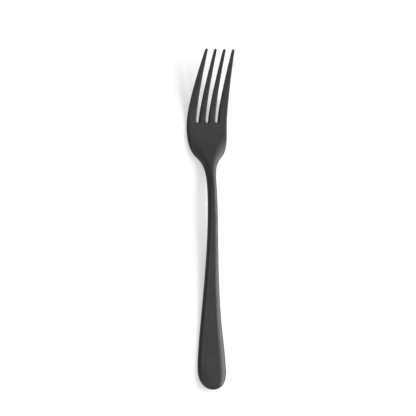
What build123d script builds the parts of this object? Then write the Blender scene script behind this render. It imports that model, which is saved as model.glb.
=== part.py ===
from build123d import *
import math
import os

# A one-piece table fork, lying tines up on a table. Millimetres.
# X runs across the fork, Y from the butt (-Y) to the tine tips (+Y), and the table is Z = 0.

# Lengths of the stretches, from the butt to the tips
BUTT_LENGTH = 11.4
TAPER_LENGTH = 112.4
SHOULDER_LENGTH = 34.0
PALM_LENGTH = 4.0
TINE_LENGTH = 42.5

# Widths in plan
HANDLE_WIDTH = 19.8
NECK_WIDTH = 6.4
HEAD_WIDTH = 28.6
TIP_SPAN = 20.8
TIP_WIDTH = 1.8
TINE_COUNT = 4
SLOT_PITCH = 6.8
SLOT_WIDTH = 1.85

# Thickness of the metal
BUTT_THICKNESS = 2.8
HANDLE_THICKNESS = 3.2
NECK_THICKNESS = 3.4
HEAD_THICKNESS = 2.3
TIP_THICKNESS = 1.4

# Side view: the handle's end and the heel rest on the table, the neck arches, the tines sweep up
BUTT_LIFT = 2.2
BUTT_SWEEP = 17.0
HANDLE_REST_LENGTH = 13.0
CREST_BEHIND_NECK = 11.0
CREST_HEIGHT = 6.0
TIP_HEIGHT = 17.4
TINE_SLOPE = 0.46
REST_DEPTH = 0.05

# How far each curve runs straight on, at its start and at its end, before it turns
BUTT_RUNS = (6.1, 6.8)
TAPER_RUNS = (17.5, 71.0)
SHOULDER_RUNS = (22.0, 25.0)
SHOULDER_ROLL_RUNS = (24.0, 8.0)
TINE_EDGE_RUNS = (16.0, 12.0)
TINE_EDGE_LEAN = 0.11
RISE_RUNS = (26.5, 27.5)
FALL_RUNS = (17.5, 14.5)
SWEEP_RUNS = (11.0, 15.5)

# Section: the top rolls down to soft edges, and the underside is softened too
# A share is of the half width, the slope is what the top has reached where its edge begins
EDGE_ROUND = 1.2
UNDER_ROUND = 0.8
NECK_UNDER_ROUND = 1.8
ROUND_SHARE = 0.6
HANDLE_ROLL_SHARE = 0.44
NECK_ROLL_SHARE = 0.85
TINE_ROLL_WIDTH = 1.2
ROLL_SLOPE = 0.30
TINE_ROLL_SLOPE = 0.15
PARTING = 0.42
CORNER_FULLNESS = 0.6
TIP_ROUND = 1.3

# The coat over the steel
COAT_THICKNESS = 0.10

# How many sections each stretch is drawn through
# The butt's sections and the tips' sections stop half a step short of the pole
BUTT_SECTIONS = 10
TAPER_SECTIONS = 14
SHOULDER_SECTIONS = 11
PALM_SECTIONS = 2
TINE_SECTIONS = 8
TIP_SECTIONS = 6

# How finely a curve is searched for a place along the length
HALVINGS = 40
CURVE_STEP = 0.001

# Stations along Y
LENGTH = BUTT_LENGTH + TAPER_LENGTH + SHOULDER_LENGTH + PALM_LENGTH + TINE_LENGTH
BUTT_Y = -LENGTH / 2
HANDLE_Y = BUTT_Y + BUTT_LENGTH
NECK_Y = HANDLE_Y + TAPER_LENGTH
HEEL_Y = NECK_Y + SHOULDER_LENGTH
ROOT_Y = HEEL_Y + PALM_LENGTH
TIP_Y = LENGTH / 2
CREST_Y = NECK_Y - CREST_BEHIND_NECK
REST_START_Y = BUTT_Y + BUTT_SWEEP
REST_END_Y = REST_START_Y + HANDLE_REST_LENGTH


def ease(start, end, runs=None):
    """A curve of (value, y) that leaves its start and reaches its end along Y."""
    leave, arrive = runs or [(end[1] - start[1]) / 3] * 2
    return [start, (start[0], start[1] + leave), (end[0], end[1] - arrive), end]


def straight(start, end):
    """A straight run of (value, y), written as a curve."""
    return [tuple(a + (b - a) * i / 3 for a, b in zip(start, end)) for i in range(4)]


def along(curve, t):
    """The point of a four-point Bezier curve at t, from 0 at its start to 1 at its end."""
    return [
        a * (1 - t) ** 3 + 3 * b * t * (1 - t) ** 2 + 3 * c * t ** 2 * (1 - t) + d * t ** 3
        for a, b, c, d in zip(*curve)
    ]


def level(curves, y):
    """The value, at a place along the length, of a chain of curves of (value, y)."""
    curve = next((c for c in curves if y <= c[-1][1]), curves[-1])
    low, high = 0.0, 1.0
    for _ in range(HALVINGS):
        middle = (low + high) / 2
        if along(curve, middle)[1] < y:
            low = middle
        else:
            high = middle
    return along(curve, low)[0]


# Plan view of the right-hand edge
butt_edge = [
    (0, BUTT_Y),
    (BUTT_RUNS[0], BUTT_Y),
    (HANDLE_WIDTH / 2, HANDLE_Y - BUTT_RUNS[1]),
    (HANDLE_WIDTH / 2, HANDLE_Y),
]
taper_edge = ease((HANDLE_WIDTH / 2, HANDLE_Y), (NECK_WIDTH / 2, NECK_Y), TAPER_RUNS)
shoulder_edge = ease((NECK_WIDTH / 2, NECK_Y), (HEAD_WIDTH / 2, HEEL_Y), SHOULDER_RUNS)
tine_edge = [
    (HEAD_WIDTH / 2, HEEL_Y),
    (HEAD_WIDTH / 2, HEEL_Y + TINE_EDGE_RUNS[0]),
    (TIP_SPAN / 2 + TINE_EDGE_LEAN * TINE_EDGE_RUNS[1], TIP_Y - TINE_EDGE_RUNS[1]),
    (TIP_SPAN / 2, TIP_Y),
]

# Side view of the middle of the metal
handle_height = HANDLE_THICKNESS / 2 - REST_DEPTH
heel_height = HEAD_THICKNESS / 2 - REST_DEPTH
middle_line = [
    [
        (handle_height + BUTT_LIFT, BUTT_Y),
        (handle_height + BUTT_LIFT / 3, BUTT_Y + BUTT_SWEEP / 3),
        (handle_height, REST_START_Y - BUTT_SWEEP / 3),
        (handle_height, REST_START_Y),
    ],
    straight((handle_height, REST_START_Y), (handle_height, REST_END_Y)),
    ease((handle_height, REST_END_Y), (CREST_HEIGHT, CREST_Y), RISE_RUNS),
    ease((CREST_HEIGHT, CREST_Y), (heel_height, HEEL_Y), FALL_RUNS),
    [
        (heel_height, HEEL_Y),
        (heel_height, HEEL_Y + SWEEP_RUNS[0]),
        (TIP_HEIGHT - TINE_SLOPE * SWEEP_RUNS[1], TIP_Y - SWEEP_RUNS[1]),
        (TIP_HEIGHT, TIP_Y),
    ],
]

# Thickness along the length
gauge = [
    ease((BUTT_THICKNESS, BUTT_Y), (HANDLE_THICKNESS, HANDLE_Y)),
    ease((HANDLE_THICKNESS, HANDLE_Y), (NECK_THICKNESS, NECK_Y)),
    ease((NECK_THICKNESS, NECK_Y), (HEAD_THICKNESS, HEEL_Y)),
    straight((HEAD_THICKNESS, HEEL_Y), (TIP_THICKNESS, TIP_Y)),
]

# 0 where the handle's rolled section holds, 1 where the head's flatter section holds
flatness = [
    straight((0, BUTT_Y), (0, NECK_Y)),
    ease((0, NECK_Y), (1, HEEL_Y), SHOULDER_ROLL_RUNS),
    straight((1, HEEL_Y), (1, TIP_Y)),
]

# How much of the half width rolls down
roll_share = [
    straight((HANDLE_ROLL_SHARE, BUTT_Y), (HANDLE_ROLL_SHARE, HANDLE_Y)),
    ease((HANDLE_ROLL_SHARE, HANDLE_Y), (NECK_ROLL_SHARE, NECK_Y)),
    straight((NECK_ROLL_SHARE, NECK_Y), (NECK_ROLL_SHARE, TIP_Y)),
]

# Slope that the roll reaches: it flattens out on the palm and grows again along the tines
roll_slope = [
    straight((ROLL_SLOPE, BUTT_Y), (ROLL_SLOPE, NECK_Y)),
    ease((ROLL_SLOPE, NECK_Y), (0, HEEL_Y), SHOULDER_ROLL_RUNS),
    straight((0, HEEL_Y), (0, ROOT_Y)),
    ease((0, ROOT_Y), (TINE_ROLL_SLOPE, TIP_Y)),
]

# Rounding of the lower edges along the length
under_round = [
    straight((UNDER_ROUND, BUTT_Y), (UNDER_ROUND, HANDLE_Y)),
    ease((UNDER_ROUND, HANDLE_Y), (NECK_UNDER_ROUND, NECK_Y)),
    ease((NECK_UNDER_ROUND, NECK_Y), (EDGE_ROUND, HEEL_Y)),
    straight((EDGE_ROUND, HEEL_Y), (EDGE_ROUND, TIP_Y)),
]


def corner(start, knee, end):
    """A soft corner from start to end that heads for the knee at both ends."""
    start, knee, end = Vector(*start), Vector(*knee), Vector(*end)
    leave = start + (knee - start) * CORNER_FULLNESS
    arrive = end + (knee - end) * CORNER_FULLNESS
    return Bezier(start, leave, arrive, end)


def section(y, centre, height, half, rise, drop, edge, roll, slope, under):
    """One cross-section: lands above and below, and on each side a soft foot, a soft edge and a roll."""
    eaves = rise - slope * roll / 2

    def side(sign):
        def at(inward, z):
            return (centre + sign * (half - inward), y, height + z)

        foot, widest, brow, land = at(under, -drop), at(0, 0), at(edge, eaves), at(edge + roll, rise)
        return [
            (foot, at(0, -drop), widest),
            (widest, at(0, eaves - slope * edge), brow),
            (brow, at(edge + roll / 2, rise), land),
        ]

    right = side(1)
    left = [bend[::-1] for bend in reversed(side(-1))]
    bottom = Line(left[-1][-1], right[0][0])
    top = Line(right[-1][-1], left[0][0])
    return Wire([top, *[corner(*bend) for bend in left], bottom, *[corner(*bend) for bend in right]])


def swell(distance, band):
    """How much of its full height a rounded edge has reached at a distance in from its rim."""
    share = min(distance / band, 1)
    return math.sqrt(1 - (1 - share) ** 2)


def butt_rise(distance, rise):
    """Height of the top at a distance in from the butt's rim: a soft edge, then the roll up to the land."""
    roll = HANDLE_ROLL_SHARE * (HANDLE_WIDTH / 2 - EDGE_ROUND)
    if distance < EDGE_ROUND:
        bend = ROLL_SLOPE * distance ** 2 / (2 * EDGE_ROUND)
        return bend + (rise - ROLL_SLOPE * (roll + EDGE_ROUND) / 2) * swell(distance, EDGE_ROUND)
    to_land = max(EDGE_ROUND + roll - distance, 0)
    return rise - ROLL_SLOPE * to_land ** 2 / (2 * roll)


def metal(y, inset):
    """Height of the widest line, and the metal's rise above it and drop below it, set in by the inset."""
    thickness = level(gauge, y)
    height = level(middle_line, y) + thickness * (PARTING - 0.5)
    return height, thickness * (1 - PARTING) - inset, thickness * PARTING - inset


def body_section(half, y, inset):
    """A section of the handle, neck or palm."""
    flat = level(flatness, y)
    edge = min(EDGE_ROUND, ROUND_SHARE * half)
    under = min(level(under_round, y), ROUND_SHARE * half)
    roll = (1 - flat) * level(roll_share, y) * (half - edge) + flat * TINE_ROLL_WIDTH
    height, full_rise, full_drop = metal(y, inset)
    from_butt = y - BUTT_Y - inset
    rise = butt_rise(from_butt, full_rise)
    drop = full_drop * swell(from_butt, UNDER_ROUND)
    slope = level(roll_slope, y) * rise / full_rise
    return section(y, 0, height, half, rise, drop, edge, roll, slope, under)


def inward(curve, t, inset):
    """The point of the plan's edge at t, moved in, square to the edge, by the inset."""
    x, y = along(curve, t)
    ahead, behind = along(curve, t + CURVE_STEP), along(curve, t - CURVE_STEP)
    run = Vector(ahead[0] - behind[0], ahead[1] - behind[1]).normalized()
    return x - run.Y * inset, y + run.X * inset


def body(inset):
    """Handle, neck and palm, up to the plane where the tines begin."""
    stations = [inward(butt_edge, (i + 0.5) / BUTT_SECTIONS, inset) for i in range(BUTT_SECTIONS)]
    stations += [inward(taper_edge, i / TAPER_SECTIONS, inset) for i in range(TAPER_SECTIONS)]
    stations += [inward(shoulder_edge, i / SHOULDER_SECTIONS, inset) for i in range(SHOULDER_SECTIONS)]
    for i in range(PALM_SECTIONS + 1):
        y = HEEL_Y + PALM_LENGTH * i / PALM_SECTIONS
        stations.append((level([tine_edge], y) - inset, y))
    return Solid.make_loft([body_section(half, y, inset) for half, y in stations])


def slot_span(index, y):
    """The two sides of a slot, counted from the left, at a place along the tines."""
    tip_pitch = (TIP_SPAN - TIP_WIDTH) / (TINE_COUNT - 1)
    tip_slot = tip_pitch - TIP_WIDTH
    reach = (y - ROOT_Y) / TINE_LENGTH
    place = index - (TINE_COUNT - 2) / 2
    middle = place * (SLOT_PITCH + (tip_pitch - SLOT_PITCH) * reach)
    half = (SLOT_WIDTH + (tip_slot - SLOT_WIDTH) * reach) / 2
    return middle - half, middle + half


def tine_section(index, y, inset, share):
    """A section of one tine, shrunk to a share of its size towards the rounded tip."""
    outer = level([tine_edge], y)
    left = -outer if index == 0 else slot_span(index - 1, y)[1]
    right = outer if index == TINE_COUNT - 1 else slot_span(index, y)[0]
    half = ((right - left) / 2 - inset) * share
    edge = min(EDGE_ROUND, ROUND_SHARE * half)
    roll = min(TINE_ROLL_WIDTH, NECK_ROLL_SHARE * (half - edge))
    height, rise, drop = metal(y, inset)
    slope = level(roll_slope, y) * share
    return section(y, (left + right) / 2, height, half, rise * share, drop * share, edge, roll, slope, edge)


def tine(index, inset):
    """One tine, from its root on the palm to its rounded tip."""
    round_from = TIP_Y - TIP_ROUND
    shank = []
    for i in range(TINE_SECTIONS + 1):
        y = ROOT_Y + (round_from - ROOT_Y) * i / TINE_SECTIONS
        shank.append(tine_section(index, y, inset, 1))
    tip = []
    for i in range(TIP_SECTIONS):
        turn = math.radians(90) * i / (TIP_SECTIONS - 0.5)
        y = round_from + (TIP_ROUND - inset) * math.sin(turn)
        tip.append(tine_section(index, y, inset, math.cos(turn)))
    return Solid.make_loft(shank) + Solid.make_loft(tip)


def slot_end(index, inset):
    """The round bottom of a slot, as a cutter whose rim carries on the soft edges of the tines."""
    left, right = slot_span(index, ROOT_Y)
    middle = (left + right) / 2
    height, rise, drop = metal(ROOT_Y, inset)
    waist = (right - left) / 2 + inset
    rim = waist + EDGE_ROUND
    low = -drop - HEAD_THICKNESS
    high = rise + HEAD_THICKNESS

    def at(out, z):
        return (middle + out, ROOT_Y, height + z)

    outline = Wire([
        Line(at(0, low), at(rim, low)),
        Line(at(rim, low), at(rim, -drop)),
        corner(at(rim, -drop), at(waist, -drop), at(waist, 0)),
        corner(at(waist, 0), at(waist, rise), at(rim, rise)),
        Line(at(rim, rise), at(rim, high)),
        Line(at(rim, high), at(0, high)),
        Line(at(0, high), at(0, low)),
    ])
    return revolve(Face(outline), Axis((middle, ROOT_Y, 0), (0, 0, -1)), 180)


def fork(inset):
    """The whole fork with every face set in by the inset, cut flat where it rests."""
    whole = body(inset)
    for index in range(TINE_COUNT - 1):
        whole -= slot_end(index, inset)
    for index in range(TINE_COUNT):
        whole += tine(index, inset)
    return split(whole, Plane.XY.offset(inset), Keep.TOP)


steel_blank = fork(COAT_THICKNESS)
black_coating = fork(0) - steel_blank

os.makedirs("parts", exist_ok=True)
export_step(steel_blank, "parts/steel_blank.step")
export_step(black_coating, "parts/black_coating.step")
print("steel", steel_blank.volume, "coat", black_coating.volume, "cubic millimetres")
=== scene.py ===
import math

import bpy
from mathutils import Matrix, Vector

# A matte black table fork, lying tines up on a white table. Metres.
# X runs across the fork, Y from the butt to the tine tips, and the table is Z = 0.
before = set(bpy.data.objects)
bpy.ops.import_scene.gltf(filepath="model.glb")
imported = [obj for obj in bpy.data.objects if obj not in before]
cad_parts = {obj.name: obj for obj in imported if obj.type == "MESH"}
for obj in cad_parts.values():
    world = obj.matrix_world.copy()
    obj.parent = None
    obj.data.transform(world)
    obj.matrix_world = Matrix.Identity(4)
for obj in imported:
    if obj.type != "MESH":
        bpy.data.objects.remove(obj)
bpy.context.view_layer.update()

# The camera: its lean from straight above towards -X, its tilt and its roll, how far it stands from
# the point of the table that it aims at, and its lens, whose focal length is in pixels of the frame
VIEW_LEAN = math.radians(33.0)
VIEW_TILT = math.radians(0.183)
VIEW_ROLL = math.radians(-1.128)
VIEW_DISTANCE = 1.3158
VIEW_AIM = Vector((0.0004, 0.0073, 0.0))
SENSOR_WIDTH = 36.0
FRAME_PIXELS = 416
FOCAL_PIXELS = 2180

# The table: its size, its paint, and the light of its own that keeps its shadows pale
TABLE_SIZE = 60.0
TABLE_WHITE = 0.65
TABLE_GLOW = 0.5

# The lamps stand this far from the fork, in a room of this brightness, where 1 is white
LAMP_DISTANCE = 2.5
ROOM_LIGHT = 0.5

# The range that most of a noise lies in
NOISE_MIDDLE = (0.3, 0.7)

# The coat: two blacks that drift into each other, its roughness and gloss, and a fine blasted grain
COAT_DARK = (0.0080, 0.0077, 0.0074, 1)
COAT_LIGHT = (0.0115, 0.0111, 0.0106, 1)
COAT_SHEEN = (0.30, 0.34)
COAT_GLOSS = 0.45
COAT_DRIFT = 0.008
COAT_DRIFT_DETAIL = 4.0
COAT_GRAIN = 0.00022
COAT_GRAIN_DETAIL = 2.0
COAT_GRAIN_DEPTH = 0.000006

# The steel: its colour and roughness, and the brush lines that run along it
STEEL_COLOUR = (0.56, 0.55, 0.54, 1)
STEEL_SHEEN = (0.26, 0.40)
BRUSH_LINE = (0.00015, 0.012, 0.00015)
BRUSH_DETAIL = 3.0
BRUSH_DEPTH = 0.000004

scene = bpy.context.scene
scene.view_settings.view_transform = "Standard"


def node_material(name):
    """A new material with nodes, its node tree and its main shader."""
    material = bpy.data.materials.new(name)
    material.use_nodes = True
    tree = material.node_tree
    return material, tree, tree.nodes["Principled BSDF"]


def add_noise(tree, grain, detail):
    """Smooth noise fixed to the piece, whose spots are about grain long in X, Y and Z."""
    place = tree.nodes.new("ShaderNodeTexCoord")
    stretch = tree.nodes.new("ShaderNodeMapping")
    stretch.inputs["Scale"].default_value = [1 / length for length in grain]
    noise = tree.nodes.new("ShaderNodeTexNoise")
    noise.inputs["Scale"].default_value = 1.0
    noise.inputs["Detail"].default_value = detail
    tree.links.new(place.outputs["Object"], stretch.inputs["Vector"])
    tree.links.new(stretch.outputs["Vector"], noise.inputs["Vector"])
    return noise.outputs["Fac"]


def spread(tree, value, limits):
    """The middle of a noise drawn out between two limits."""
    scale = tree.nodes.new("ShaderNodeMapRange")
    scale.inputs["From Min"].default_value, scale.inputs["From Max"].default_value = NOISE_MIDDLE
    scale.inputs["To Min"].default_value, scale.inputs["To Max"].default_value = limits
    tree.links.new(value, scale.inputs["Value"])
    return scale.outputs["Result"]


def add_bump(tree, shader, height, depth):
    """Lets a noise raise the surface by up to a depth."""
    bump = tree.nodes.new("ShaderNodeBump")
    bump.inputs["Distance"].default_value = depth
    tree.links.new(height, bump.inputs["Height"])
    tree.links.new(bump.outputs["Normal"], shader.inputs["Normal"])


def coat_material():
    """Satin black coat over blasted steel: a fine grain, and a colour and a sheen that drift a little."""
    material, tree, shader = node_material("matte_black_coat")
    shader.inputs["Specular IOR Level"].default_value = COAT_GLOSS
    drift = add_noise(tree, [COAT_DRIFT] * 3, COAT_DRIFT_DETAIL)
    blend = tree.nodes.new("ShaderNodeMix")
    blend.data_type = "RGBA"
    blend.inputs["A"].default_value = COAT_DARK
    blend.inputs["B"].default_value = COAT_LIGHT
    tree.links.new(spread(tree, drift, (0, 1)), blend.inputs["Factor"])
    tree.links.new(blend.outputs["Result"], shader.inputs["Base Color"])
    tree.links.new(spread(tree, drift, COAT_SHEEN), shader.inputs["Roughness"])
    add_bump(tree, shader, add_noise(tree, [COAT_GRAIN] * 3, COAT_GRAIN_DETAIL), COAT_GRAIN_DEPTH)
    return material


def steel_material():
    """Brushed stainless steel, with its lines along the fork."""
    material, tree, shader = node_material("stainless_steel")
    shader.inputs["Base Color"].default_value = STEEL_COLOUR
    shader.inputs["Metallic"].default_value = 1.0
    lines = add_noise(tree, BRUSH_LINE, BRUSH_DETAIL)
    tree.links.new(spread(tree, lines, STEEL_SHEEN), shader.inputs["Roughness"])
    add_bump(tree, shader, lines, BRUSH_DEPTH)
    return material


def dress(node, material):
    """Gives a node of the frame its material."""
    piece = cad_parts[node]
    piece.data.materials.clear()
    piece.data.materials.append(material)


def table_material():
    """White paint, with some light of its own for whatever sees or mirrors it."""
    material = bpy.data.materials.new("white_table")
    material.use_nodes = True
    tree = material.node_tree
    tree.nodes.clear()
    rays = tree.nodes.new("ShaderNodeLightPath")
    seen = tree.nodes.new("ShaderNodeMath")
    seen.operation = "MAXIMUM"
    seen_or_through = tree.nodes.new("ShaderNodeMath")
    seen_or_through.operation = "MAXIMUM"
    share = tree.nodes.new("ShaderNodeMath")
    share.operation = "MULTIPLY"
    share.inputs[1].default_value = TABLE_GLOW
    paint = tree.nodes.new("ShaderNodeBsdfDiffuse")
    paint.inputs["Color"].default_value = (TABLE_WHITE, TABLE_WHITE, TABLE_WHITE, 1)
    glow = tree.nodes.new("ShaderNodeEmission")
    both = tree.nodes.new("ShaderNodeAddShader")
    out = tree.nodes.new("ShaderNodeOutputMaterial")
    tree.links.new(rays.outputs["Is Camera Ray"], seen.inputs[0])
    tree.links.new(rays.outputs["Is Glossy Ray"], seen.inputs[1])
    tree.links.new(seen.outputs[0], seen_or_through.inputs[0])
    tree.links.new(rays.outputs["Is Transmission Ray"], seen_or_through.inputs[1])
    tree.links.new(seen_or_through.outputs[0], share.inputs[0])
    tree.links.new(share.outputs[0], glow.inputs["Strength"])
    tree.links.new(paint.outputs[0], both.inputs[0])
    tree.links.new(glow.outputs[0], both.inputs[1])
    tree.links.new(both.outputs[0], out.inputs[0])
    return material


def add_floor():
    """The white table top that the fork lies on."""
    bpy.ops.mesh.primitive_plane_add(size=TABLE_SIZE, location=(0, 0, 0))
    floor = bpy.context.object
    floor.name = "table"
    floor.data.materials.append(table_material())


def add_softbox(name, azimuth, elevation, width, height, brightness, mirrored=True):
    """A rectangular lamp of a brightness, seen from the fork in a direction and at a size in degrees.

    It is either mirrored in shiny surfaces or lights matt ones.
    """
    turn, rise = math.radians(azimuth), math.radians(elevation)
    out = Vector((math.cos(turn) * math.cos(rise), math.sin(turn) * math.cos(rise), math.sin(rise)))
    lamp = bpy.data.lights.new(name, "AREA")
    lamp.shape = "RECTANGLE"
    lamp.size = 2 * LAMP_DISTANCE * math.tan(math.radians(width / 2))
    lamp.size_y = 2 * LAMP_DISTANCE * math.tan(math.radians(height / 2))
    lamp.energy = brightness * math.pi * lamp.size * lamp.size_y
    box = bpy.data.objects.new(name, lamp)
    scene.collection.objects.link(box)
    box.location = out * LAMP_DISTANCE
    box.rotation_euler = out.to_track_quat("Z", "Y").to_euler()
    box.visible_glossy = mirrored
    box.visible_diffuse = not mirrored


def turned(first, second, angle):
    """Two directions at right angles, both turned in their plane."""
    first_now = first * math.cos(angle) + second * math.sin(angle)
    second_now = second * math.cos(angle) - first * math.sin(angle)
    return first_now, second_now


def add_camera():
    """The camera at the photograph's place."""
    right = Vector((math.cos(VIEW_LEAN), 0, math.sin(VIEW_LEAN)))
    up = Vector((0, 1, 0))
    back = right.cross(up)
    up, back = turned(up, back, VIEW_TILT)
    right, up = turned(right, up, VIEW_ROLL)
    lens = bpy.data.cameras.new("camera")
    lens.sensor_width = SENSOR_WIDTH
    lens.lens = FOCAL_PIXELS / FRAME_PIXELS * SENSOR_WIDTH
    camera = bpy.data.objects.new("camera", lens)
    scene.collection.objects.link(camera)
    turn = Matrix((right, up, back)).transposed()
    camera.matrix_world = Matrix.LocRotScale(VIEW_AIM + back * VIEW_DISTANCE, turn, None)
    scene.camera = camera


def add_room():
    """Pale air all round."""
    world = bpy.data.worlds.new("room")
    world.use_nodes = True
    air = world.node_tree.nodes["Background"]
    air.inputs["Color"].default_value = (1, 1, 1, 1)
    air.inputs["Strength"].default_value = ROOM_LIGHT
    scene.world = world


def add_lamps():
    """A box that casts the shadow, and the boxes that the coat mirrors.

    Of those, a bright one on the right fades towards the table, and the rest are faint.
    """
    add_softbox("shadow_box", azimuth=10, elevation=42, width=50, height=40, brightness=3.85,
                mirrored=False)
    add_softbox("right_box", azimuth=0, elevation=36, width=36, height=12, brightness=8.2)
    add_softbox("right_box_foot", azimuth=0, elevation=26, width=36, height=10, brightness=3.8)
    add_softbox("low_box", azimuth=0, elevation=15, width=50, height=12, brightness=1.5)
    add_softbox("top_box", azimuth=320, elevation=76, width=24, height=24, brightness=1.3)
    add_softbox("near_box", azimuth=270, elevation=35, width=40, height=30, brightness=0.6)
    add_softbox("near_left_box", azimuth=228, elevation=40, width=36, height=50, brightness=1.3)
    add_softbox("near_right_box", azimuth=312, elevation=28, width=36, height=40, brightness=0.5)


dress("black_coating", coat_material())
dress("steel_blank", steel_material())
add_floor()
add_room()
add_lamps()
add_camera()
